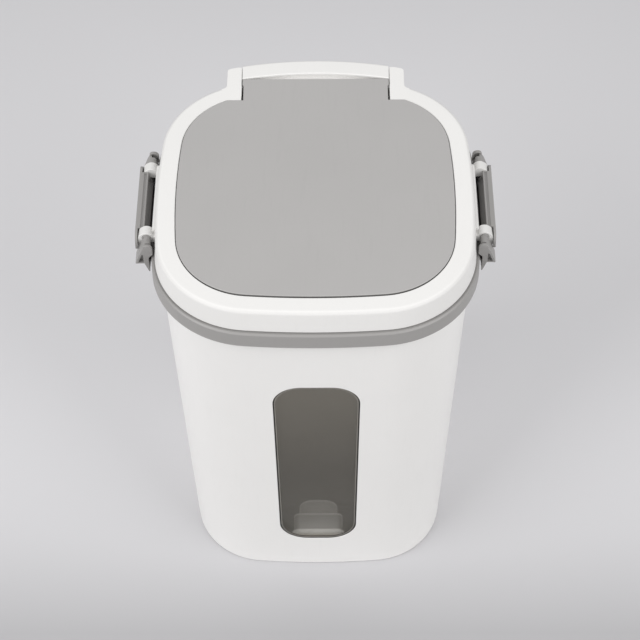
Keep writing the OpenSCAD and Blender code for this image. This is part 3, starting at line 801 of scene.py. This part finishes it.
# The underside: a pad in the middle and a socket round each foot.
centre_pad = turned("centre pad", rounded([
    (0, 0.4, 0), (PAD_R, 0.4, 0.6), (PAD_R, UNDER_Z + 0.3, 0), (0, UNDER_Z + 0.3, 0)], 3))
socket_section = rounded([
    (FOOT_R + 0.1, UNDER_Z + 0.3, 0), (FOOT_R + 0.1, 0.3, 0.4),
    (FOOT_R + FOOT_WALL, 0.3, 0.6), (FOOT_R + FOOT_WALL, UNDER_Z + 0.3, 0)], 3)
foot_section = rounded([
    (0, 0.35, 0), (4.6, 0.35, 0.3), (5.2, 0, 0.3), (FOOT_R, 0, 0.7), (FOOT_R, UNDER_Z, 0.2),
    (0, UNDER_Z, 0)], 3)
sockets = []
feet = []
for end, to_back in (("front", -1), ("back", 1)):
    for side, to_right in (("left", -1), ("right", 1)):
        place = (FOOT_AT * to_right, FOOT_AT * to_back)
        sockets.append(turned("socket", socket_section, *place, closed=True))
        foot = turned("foot_%s_%s" % (end, side), foot_section, *place)
        feet.append((foot, "foot_pad_%s_%s" % (end, side)))
join(tub, bead, centre_pad, *sockets)
fit(tub, "bin", "white_plastic", TUB_WHITE, "body_shell", angle=28)
for foot, node in feet:
    fit(foot, "bin", "dark_rubber", BLACK_RUBBER, node)

# ---- Window ----

# Depths are counted from the tub's outer face.
pane = slab("window_pane_sheet", window_outline(-GASKET_W - 0.1), PANE_SET, TUB_WALL + 0.8, "Y", edge=0.7)
combine(pane, [slab(
    "flange", window_outline(FLANGE_W), TUB_WALL + 0.3, TUB_WALL + 0.3 + FLANGE_T, "Y", edge=0.3)])
# A thin paler band just inside the pane's edge: a frosted edge whose tone is partly a painted highlight.
pane_edge = slab("window_pane_edge", [window_outline(-GASKET_W - 0.7), window_outline(-GASKET_W - 1.4)],
                 PANE_SET - 0.15, PANE_SET + 0.4, "Y", edge=0.1, rounds=2)
gasket = slab("window_gasket_ring", [window_outline(-0.1), window_outline(-GASKET_W)],
              PANE_SET, TUB_WALL, "Y", edge=0.35)
for piece in (pane, pane_edge, gasket):
    laid_on_front(piece)
fit(pane, "bin", "smoked_pane", SMOKED, "window_pane")
fit(pane_edge, "bin", "smoked_pane", FROSTED_AND_HIGHLIGHT, "window_pane")
fit(gasket, "bin", "dark_rubber", BLACK_RUBBER, "window_gasket")

# ---- Collar ----

collar_in = neck_inset - 0.1
collar_skirt = COLLAR_INSET + COLLAR_WALL
collar = swept("collar", rounded([
    (COLLAR_INSET, COLLAR_Z, 0.5), (COLLAR_INSET + 0.4, COLLAR_TOP - 1.3, 0.5),
    (COLLAR_INSET + 1.7, COLLAR_TOP, 0.5), (collar_in, COLLAR_TOP, 0.4), (collar_in, COLLAR_Z, 0.4),
    (collar_in - COLLAR_WALL, COLLAR_Z, 0.4), (collar_in - COLLAR_WALL, COLLAR_TOP - COLLAR_WALL, 0.5),
    (collar_skirt, COLLAR_TOP - COLLAR_WALL, 0.5), (collar_skirt, COLLAR_Z, 0.4)], steps=4))
fit(collar, "bin", "grey_plastic", TRIM_GREY, "collar_ring")

# ---- Lid ring ----

ring = swept("lid_ring", rounded([
    (0, SKIRT_Z, 0.4), (SKIRT_LEAN, RING_TOP, 3.4), (RECESS, RING_TOP, 0.6),
    (RECESS, LEDGE_Z, 0), (MOUTH, LEDGE_Z, 1), (MOUTH, LIP_Z, 0.6), (MOUTH - RING_WALL, LIP_Z, 0.6),
    (MOUTH - RING_WALL, LEDGE_UNDER, 0), (RECESS - RING_WALL, LEDGE_UNDER, 0),
    (RECESS - RING_WALL, RING_TOP - RING_WALL, 0), (SPIGOT_INSET + RING_WALL, RING_TOP - 3.36, 0),
    (SPIGOT_INSET + RING_WALL, SPIGOT_Z, 0.6), (SPIGOT_INSET, SPIGOT_Z, 0.6),
    (SPIGOT_INSET, SEAL_TOP, 0), (SEAL_INSET, SEAL_TOP, 0), (RING_WALL, SKIRT_Z, 0.4)], steps=6))

# The floor of the notch and, beside each ear, the walls of a small pocket in it.
step_outer = [p for p in outline(SPIGOT_INSET + 0.9) if p[1] > 0 and abs(p[0]) < NOTCH_X + 0.5]
step_inner = [p for p in outline(RECESS + 1.4) if p[1] > 0 and abs(p[0]) < NOTCH_X + 0.5]
notch_parts = [slab("notch floor", step_outer + step_inner[::-1], LEDGE_UNDER - 0.02, LEDGE_Z + 1)]
for way in (-1, 1):
    walls = rectangle(*on_side(way, POCKET_X - 1, NOTCH_X + 0.4),
                      POCKET_FRONT - POCKET_WALL, POCKET_BACK + POCKET_WALL)
    notch_parts.append(slab("pocket", walls, POCKET_Z - 0.9, LEDGE_Z + 2))

ear_section = rounded([
    (EAR_FRONT, RING_TOP - 0.01, 0), (EAR_FRONT, LEDGE_UNDER, 0), (EAR_ROOT_Y, 358, 0),
    (EAR_ROOT_Y, EAR_Z, 0), (EAR_BACK_Y, EAR_Z, 6), (EAR_BACK_Y, RING_TOP - 0.01, 1.2)], steps=10)
ear_plan = rounded([
    (NOTCH_X, 60, 0), (EAR_END, 60, 0), (EAR_END, EAR_BACK_Y - 3, 3.5), (NOTCH_X, EAR_BACK_Y, 0)], steps=8)
ear = slab("ear", ear_section, NOTCH_X + 0.01, EAR_END, "X", edge=0.6)
combine(ear, [slab("ear plan", ear_plan, 340, TOP)], "INTERSECT")
cut(ear, slab("bore", HINGE_BORE, PIN_START - 1.3, PIN_END + 0.3, "X"))

# A hollow fillet leads from the ear's side into the ring.
fillet_x = EAR_END + FILLET_R - 0.04
fillet_y = CORNER_Y + math.sqrt((CORNER_R - 3.2 + FILLET_R) ** 2 - (fillet_x - CORNER_X) ** 2)
toward = math.atan2(CORNER_Y - fillet_y, CORNER_X - fillet_x)
inward = Vector((math.cos(toward), math.sin(toward)))
touch = Vector((fillet_x + FILLET_R * math.cos(toward), fillet_y + FILLET_R * math.sin(toward)))
ahead = touch + Vector((-inward.y, inward.x)) * 1.5
fillet = slab("fillet", [
    (EAR_END - 2, fillet_y + 1), (EAR_END - 0.04, fillet_y + 1),
    *circle(fillet_x, fillet_y, FILLET_R, 180, math.degrees(toward) % 360, 12),
    tuple(ahead), tuple(ahead + inward * 4), (EAR_END - 2, fillet_y - 12)], 357, RING_TOP - 0.02, edge=0.5)

# The lugs that carry each latch: an arm, a round knuckle, a nose and a slot for the stub pin.
lug_back = (
    [(136.2, 356.4), (136.0, 358.0), (135.5, 359.6), (134.7, 361.0), (133.5, 362.2), (132.2, 363.1)]
    + circle(LATCH_X, LATCH_Z, LUG_R, 72, 164, 18) + [(119.1, 360.4), (122.48, 353.6)])
lug_outline = (
    lug_back + [(127.0, 353.9), (127.0, 356.56)]
    + circle(LATCH_X, LATCH_Z, STUB_R + PIN_GAP, 223, -43, 24)
    + [(131.8, 356.56), (131.8, 354.2), (132.9, 354.9)]
    + rounded([(132.6, 357.2, 0), (134.0, 349.2, 0.5), (136.2, 349.4, 0.9), (136.2, 356.4, 0)], 4)[1:-1])
lug_cheek = (
    [(135.6, 356.6), (135.2, 358.6), (134.2, 360.8), (132.4, 362.4)]
    + circle(LATCH_X, LATCH_Z, LUG_R - 0.5, 72, 164, 18)
    + [(119.9, 360.0), (122.8, 354.2), (132.4, 355.0)])
right_parts = []
for way in (-1, 1):
    right_parts += [
        slab("lug", lug_outline, *on_side(way, LUG_START, LUG_END), "Y", edge=0.45),
        slab("lug cheek", lug_cheek, *on_side(way, LUG_START + 0.02, LUG_START + 0.9), "Y")]
latch_pad = slab("latch pad", rounded([
    (123.2, 351.2, 0), (125.2, 351.2, 0.4), (125.2, 362.6, 0.4), (123.8, 364, 0.6),
    (119.8, 364.2, 0), (119.8, 358, 0), (122.4, 358, 0)], 3), -LUG_MID, LUG_MID, "Y")
right_parts += [latch_pad, ear, fillet]
left_parts = [mirrored(part, "left " + part.name) for part in right_parts]
combine(ring, notch_parts + right_parts + left_parts)

# The pockets in the floor of the notch, and the notch for the hinge.
for way in (-1, 1):
    pocket = rectangle(*on_side(way, POCKET_X, NOTCH_X - 0.2), POCKET_FRONT, POCKET_BACK)
    cut(ring, slab("pocket", pocket, POCKET_Z, LEDGE_Z + 3))
cut(ring, slab("notch", rectangle(-NOTCH_X, NOTCH_X, HALF_D - MOUTH - 5, HALF_D + 10), LEDGE_Z, TOP + 20))
fit(ring, "bin", "white_plastic", RING_WHITE, "lid_frame", angle=30)

lid_seal = swept("lid_seal_ring", rounded([
    (SEAL_INSET + 0.2, RIM_Z, 0.8), (SEAL_INSET + 0.2, SEAL_TOP, 0.8),
    (SPIGOT_INSET - 0.2, SEAL_TOP, 0.8), (SPIGOT_INSET - 0.2, RIM_Z, 0.8)], 4))
fit(lid_seal, "bin", "seal_silicone", SILICONE, "lid_seal")

# ---- Flip lid ----


def panel_loop(inset, half, back_y):
    """The lid's outline moved inwards, straight at the back, with a tongue out to the hinge."""
    limit = EAR_FRONT - inset + RECESS
    loop = outline(inset)
    kept = [p for p in loop if p[1] < limit]
    first = next(i for i, p in enumerate(loop) if p[1] >= limit)
    (x0, y0), (x1, y1) = loop[first - 1], loop[first]
    corner = x0 + (x1 - x0) * (limit - y0) / (y1 - y0)
    side = [(corner, limit), (half - 1.0, limit), (half - 1.0, TONGUE_FRONT - 1.5),
            (half, TONGUE_FRONT), (half, back_y)]
    return kept[:first] + side + [(-x, y) for x, y in side[::-1]] + kept[first:]


# The seam round the panel opens a little towards the front.
panel_plan = [(x, y + SEAM_MORE * min(0, y / HALF_D) ** 4)
              for x, y in panel_loop(RECESS + SEAM, TONGUE_W / 2, HALF_D - 0.5)]
panel = slab("flip_lid_top_panel", panel_plan, BASE_TOP, TOP, edge=0.45)
fit(panel, "flip_lid", "warm_grey_plastic", LID_GREY, "flip_lid_panel")

base = slab("flip_lid_plate", panel_loop(RECESS + 2.3, TONGUE_W / 2, HINGE_Y), BASE_Z, BASE_TOP, edge=0.3)
plug = swept("plug", rounded([
    (PLUG_OUT, BASE_Z + 0.5, 0), (PLUG_IN, BASE_Z + 0.5, 0), (PLUG_IN, PLUG_Z, 0.8),
    (PLUG_OUT - 1.05, PLUG_Z, 0.4), (PLUG_OUT - 1.05, PLUG_FLANGE_Z, 0.3), (PLUG_OUT, PLUG_FLANGE_Z, 0)], 4))
tray_socket = turned("tray socket", rounded([
    (TRAY_R + 0.1, BASE_Z + 0.4, 0), (TRAY_R + 0.1, BASE_Z - 4, 0.5), (TRAY_R + 1.9, BASE_Z - 4, 0.6),
    (TRAY_R + 1.9, BASE_Z + 0.4, 0)], 3), closed=True, steps=24)
barrel = slab("barrel", circle(HINGE_Y, HINGE_Z, BARREL_R), -TONGUE_W / 2, TONGUE_W / 2, "X", edge=0.5)


def bowed(name, section, half, edge):
    """A bar along the hinge, its ends drawn forward to follow the lid's back edge."""
    bar = slab(name, section, -half, half, "X", edge=edge)
    sliced(bar, [56 * i / 12 for i in range(-12, 13)])
    for vertex in bar.data.vertices:
        vertex.co.y -= STRIP_BOW * MM * (vertex.co.x / MM / (TONGUE_W / 2)) ** 2
    tidy(bar)
    return bar


hinge_strip = bowed("hinge strip", rounded([
    (STRIP_FRONT, STRIP_Z, 1), (STRIP_BACK, STRIP_Z, 3), (STRIP_BACK, TOP, 3), (STRIP_FRONT, TOP, 0.9)], 8),
    TONGUE_W / 2 + 0.25, 0.4)
groove = bowed("groove", [
    (126.2, BASE_TOP + 0.2), (128.0, GROOVE_Z), (131.2, GROOVE_Z), (131.2, 369.1), (126.2, 369.1)],
    TONGUE_W / 2 - 0.3, 0)
combine(base, [plug, tray_socket, barrel, hinge_strip])
cut(base, groove)
for way in (-1, 1):
    cut(base, slab("bore", HINGE_BORE, *on_side(way, PIN_START, 70), "X"))
fit(base, "flip_lid", "white_plastic", WHITE, "flip_lid_base", angle=30)

flip_seal = swept("flip_lid_seal_ring", rounded([
    (MOUTH + 0.3, PLUG_FLANGE_Z, 0.7), (PLUG_OUT, PLUG_FLANGE_Z, 0.2), (PLUG_OUT, PLUG_FLANGE_Z + 4, 0.2),
    (MOUTH + 0.3, PLUG_FLANGE_Z + 4, 0.7)], 4))
fit(flip_seal, "flip_lid", "seal_silicone", SILICONE, "flip_lid_seal")

pin = slab("hinge_pin_rod_right", circle(HINGE_Y, HINGE_Z, PIN_R), PIN_START, PIN_END, "X", edge=0.5)
left_pin = mirrored(pin, "hinge_pin_rod_left")
fit(pin, "bin", "pin_steel", STEEL, "hinge_pin_right")
fit(left_pin, "bin", "pin_steel", STEEL, "hinge_pin_left")

# ---- Latches ----

# The hook reaches under the collar.
hook = [
    (WEB_X, HOOK_Z + 2, 0), (WEB_X + 0.6, HOOK_Z - HOOK_H, 0.6),
    (LEG_X - HOOK_REACH + 0.5, HOOK_Z - 1.8, 0.4), (LEG_X - HOOK_REACH, HOOK_Z - 0.6, 0.3),
    (LEG_X, HOOK_Z, 0.6)]
web = slab("latch_right_flap", rounded([
    (WEB_X, PLATE_TOP, 0.5), (132.5, PLATE_TOP, 0.4), (132.9, PLATE_TOP - 1, 0.3),
    (134.3, PLATE_TOP - 1, 0.3), (134.7, PLATE_TOP, 0.4), (137.4, PLATE_TOP, 0.3),
    (137.4, 351.8, 0), (WEB_X, 350.8, 0), *hook, (LEG_X, 349.2, 0.6),
    (133.5, 354.4, 0.6), (133.5, 359.9, 0.4), (WEB_X, 359.9, 0.4)], 4),
    -WEB_HALF, WEB_HALF, "Y", edge=0.3)
rail = slab("rail", rounded(
    [(LEG_X, LATCH_Z - 12.6, 0.4), (WEB_X, LATCH_Z - 12.6, 0.4)] + [(x, z, 0.3) for x, z, _ in hook], 3),
    -LUG_END - 0.8, LUG_END + 0.8, "Y", edge=0.3)
plate_side = rounded([
    (y, z, 8.2) for y, z in rectangle(-PLATE_HALF, PLATE_HALF, PLATE_Z, PLATE_TOP)], 12)
plate = slab("plate", rounded([
    (136.4, 362, 0), (136.4, 352.8, 0), (136.9, 343.6, 0), (138.7, 343.6, 0.6), (138.2, 352.8, 0),
    (138.2, 362, 0)], 3), -PLATE_HALF - 0.5, PLATE_HALF + 0.5, "Y")
combine(plate, [slab("plate side", plate_side, 134, 140, "X")], "INTERSECT")

# Outlines of what each end of a latch is made of, from the lug outwards.
web_end_loop = [
    (129.0, 346), (131.0, 346), (131.0, 351.2), (134.5, 352.2), (134.5, 361.0), (131.4, 361.0),
    (131.4, 357.4), (129.0, 352.8)]
inner_leg = [(127.6, 333.9, 0.3), (128.5, 333.9, 0.3), (131.8, 344.3, 0.8)]
leg_loop = rounded(inner_leg + [
    (131.6, 361.6, 2.6), (126.3, 361.6, 2.6), (126.1, 351.6, 0.6), (127.62, 349.6, 0)], 8)
flap_loop = rounded([
    (129.9, 361.0, 0), (131.3, 359.9, 1.2), (133.6, 356.3, 2.5), (138.5, 343, 0.7), (136.3, 343, 0.6),
    (132.8, 353.0, 1.5), (129.9, 353.6, 0)], 6)
end_web_loop = rounded([
    (127.66, 334.0, 0.3), (128.46, 334.0, 0.3), (131.74, 344.3, 0.8),
    (131.54, 354.8, 0.6), (125, 354.8, 0.6), (125, 353.1, 0.6), (127.66, 349.66, 0)], 4)
back_wall_loop = [(130.3, 343.2), (137.3, 343.2), (136.6, 348.2), (133.9, 355.9), (129.7, 358.0)]
foot_wall_loop = [(131.0, 343.2), (137.3, 343.2), (137.2, 344.3), (131.2, 344.3)]
hood = rounded(inner_leg + [
    (131.9, 363.2, 3.0), (124.4, 363.2, 3.8), (124.4, 353.2, 0.6), (127.62, 349.6, 0)], 8)
hood_hollow = rounded([
    (130.7, 355.6, 0), (130.7, 362.0, 2.0), (125.6, 362.0, 2.8), (125.6, 353.9, 0), (127.8, 352.0, 0)], 8)
stub_loop = circle(LATCH_X, LATCH_Z, STUB_R)

latch_parts = [rail, plate]
for way in (-1, 1):
    end_wall = slab("end wall", hood, *on_side(way, HOOD_END - 2.4, HOOD_END), "Y", edge=0.45)
    cut(end_wall, slab("hollow", hood_hollow, *on_side(way, HOOD_END - 4, HOOD_END - 1), "Y"))
    latch_parts += [
        slab("leg", leg_loop, *on_side(way, LUG_END + 0.3, LEG_END), "Y", edge=0.45),
        end_wall,
        slab("end web", end_web_loop, *on_side(way, LEG_END - 0.7, HOOD_END - 1.5), "Y"),
        slab("flap", flap_loop, *on_side(way, LUG_END + 0.33, HOOD_END - 0.03), "Y", edge=0.45),
        slab("back wall", back_wall_loop, *on_side(way, LEG_END + 0.5, LEG_END + 1.7), "Y"),
        slab("foot wall", foot_wall_loop, *on_side(way, LEG_END + 0.8, HOOD_END - 0.2), "Y"),
        slab("web end", web_end_loop, *on_side(way, WEB_HALF - 1.3, WEB_HALF - 0.1), "Y"),
        slab("stub pin", stub_loop, *on_side(way, LUG_START + 1.2, LUG_END + 1), "Y", edge=0.3)]
latch = combine(web, latch_parts)
left_latch = mirrored(latch, "latch_left_flap")
fit(latch, "latch_right", "grey_plastic", TRIM_GREY, "latch_right", angle=30)
fit(left_latch, "latch_left", "grey_plastic", TRIM_GREY, "latch_left", angle=30)

# ---- Desiccant box ----

tray = turned("desiccant_tray_shell", rounded([
    (0, BASE_Z, 0), (TRAY_R, BASE_Z, 0.8), (TRAY_R, TRAY_Z, 0.5), (TRAY_R - TRAY_WALL, TRAY_Z, 0.5),
    (TRAY_R - TRAY_WALL, BASE_Z - TRAY_WALL, 1.5), (0, BASE_Z - TRAY_WALL, 0)], 4), steps=24)
fit(tray, "flip_lid", "white_plastic", WHITE, "desiccant_tray")
pack = turned("desiccant_pack_pouch", rounded([
    (0, PACK_TOP, 0), (26, PACK_TOP, 0), (30.4, PACK_TOP - 1, 3), (31.4, 356.5, 2), (30.4, 352.2, 3),
    (26, PACK_Z, 0), (0, PACK_Z, 0)], 5), steps=24)
fit(pack, "flip_lid", "pack_paper", PAPER, "desiccant_pack")

cover = turned("desiccant_cover_cap", rounded([
    (0, COVER_Z, 0), (COVER_RING_R - COVER_RING_T, COVER_Z, 0),
    (COVER_RING_R - COVER_RING_T, COVER_Z + COVER_RING_H, 0.4), (COVER_RING_R, COVER_Z + COVER_RING_H, 0.5),
    (COVER_RING_R, COVER_Z, 0), (TRAY_R, COVER_Z, 0.3), (TRAY_R, COVER_Z - COVER_T, 0.7),
    (0, COVER_Z - COVER_T, 0)], 4), steps=24)
slot_loop = rounded([(x, y, 1.45) for x, y in rectangle(11.4, 29.2, -1.5, 1.5)], 6)
for i in range(COVER_SLOTS):
    slot = slab("slot", slot_loop, COVER_Z - 4, COVER_Z + 2)
    slot.rotation_euler.z = 2 * PI * (i + 0.5) / COVER_SLOTS
    pick(slot)
    bpy.ops.object.transform_apply(location=False, rotation=True, scale=False)
    cut(cover, slot)
grip_loop = rounded([(x, y, 1.9) for x, y in rectangle(-8.1, 8.1, -2, 2)], 6)
combine(cover, [slab("grip", grip_loop, COVER_Z - COVER_T - 3, COVER_Z - 1, edge=0.6)])
fit(cover, "desiccant_cover", "warm_grey_plastic", PANEL_GREY, "desiccant_cover")

# ---- Measuring cup, lying on the tub's floor with its mouth to the window ----


def cup_tier(grow, r, start, end, edge):
    """Part of the cup's length, its outline grown or shrunk all round."""
    w = CUP_W / 2 + grow
    h = CUP_H / 2 + grow
    loop = rounded([(x, z, r) for x, z in rectangle(-w, w, CUP_Z - h, CUP_Z + h)], 10)
    return slab("cup tier", loop, CUP_Y + start, CUP_Y + end, "Y", edge=edge)


cup = cup_tier(0, CUP_R, CUP_LIP_L, CUP_STEP_L + 1, 0.9)
cup.name = "cup"
combine(cup, [
    cup_tier(-CUP_STEP, CUP_FOOT_R, CUP_STEP_L, CUP_L, 1.2),
    cup_tier(CUP_RIM, CUP_R + CUP_RIM, 0, CUP_LIP_L + 0.5, 0.6)])
cut(cup,
    cup_tier(-CUP_WALL, CUP_R - CUP_WALL, -2, CUP_STEP_L + 1 - CUP_WALL, 0.8),
    cup_tier(-CUP_STEP - CUP_WALL, CUP_FOOT_R - CUP_WALL, 17, CUP_L - CUP_WALL, 0.8))
fit(cup, "measuring_cup", "clear_cup", CUP_CLEAR, "measuring_cup", angle=40)

# ---- Floor and light ----


def pale_floor(name, colour):
    """Matt card, lit by a painted pool of light: painted shade darkens it before the bin and a little behind
    it.
    """
    f = Finish(name)
    depth = f.measured(f.place(), 1)
    before = (90 * MM - depth).limited(0.0, 0.27)
    behind = (depth - 200 * MM).limited(0.0, 0.45)
    # Painted light: brightest round the bin, darker before and behind it.
    shade = 1.17 - before * before * 5.9 - behind * 0.3 + (f.noise(3.0) - 0.5) * 0.01
    return f.done(base_color=f.tinted(colour, shade), roughness=0.75)


bpy.ops.mesh.primitive_plane_add(size=8)
floor = bpy.context.object
floor.name = "floor"
floor.data.materials.append(pale_floor("pale floor", (0.62, 0.615, 0.63)))

world = bpy.data.worlds.new("studio")
bpy.context.scene.world = world
world.use_nodes = True
sky = world.node_tree.nodes["Background"]
sky.inputs["Color"].default_value = (1.0, 1.0, 1.0, 1)
sky.inputs["Strength"].default_value = 0.56

# Two large soft lamps turned to the bin; the left one is the stronger.
LAMP_X = 2.21
LAMP_Y = -1.47
LAMP_Z = 1.98
for name, side, power in (("left soft box", -1, 56), ("right soft box", 1, 44)):
    place = Vector((side * LAMP_X, LAMP_Y, LAMP_Z))
    bpy.ops.object.light_add(type="AREA", location=place)
    lamp = bpy.context.object
    lamp.name = name
    lamp.data.size = 2.2
    lamp.data.energy = power
    lamp.rotation_euler = (Vector((0, 0, 0.2)) - place).to_track_quat("-Z", "Y").to_euler()

bpy.context.scene.view_settings.view_transform = "Standard"
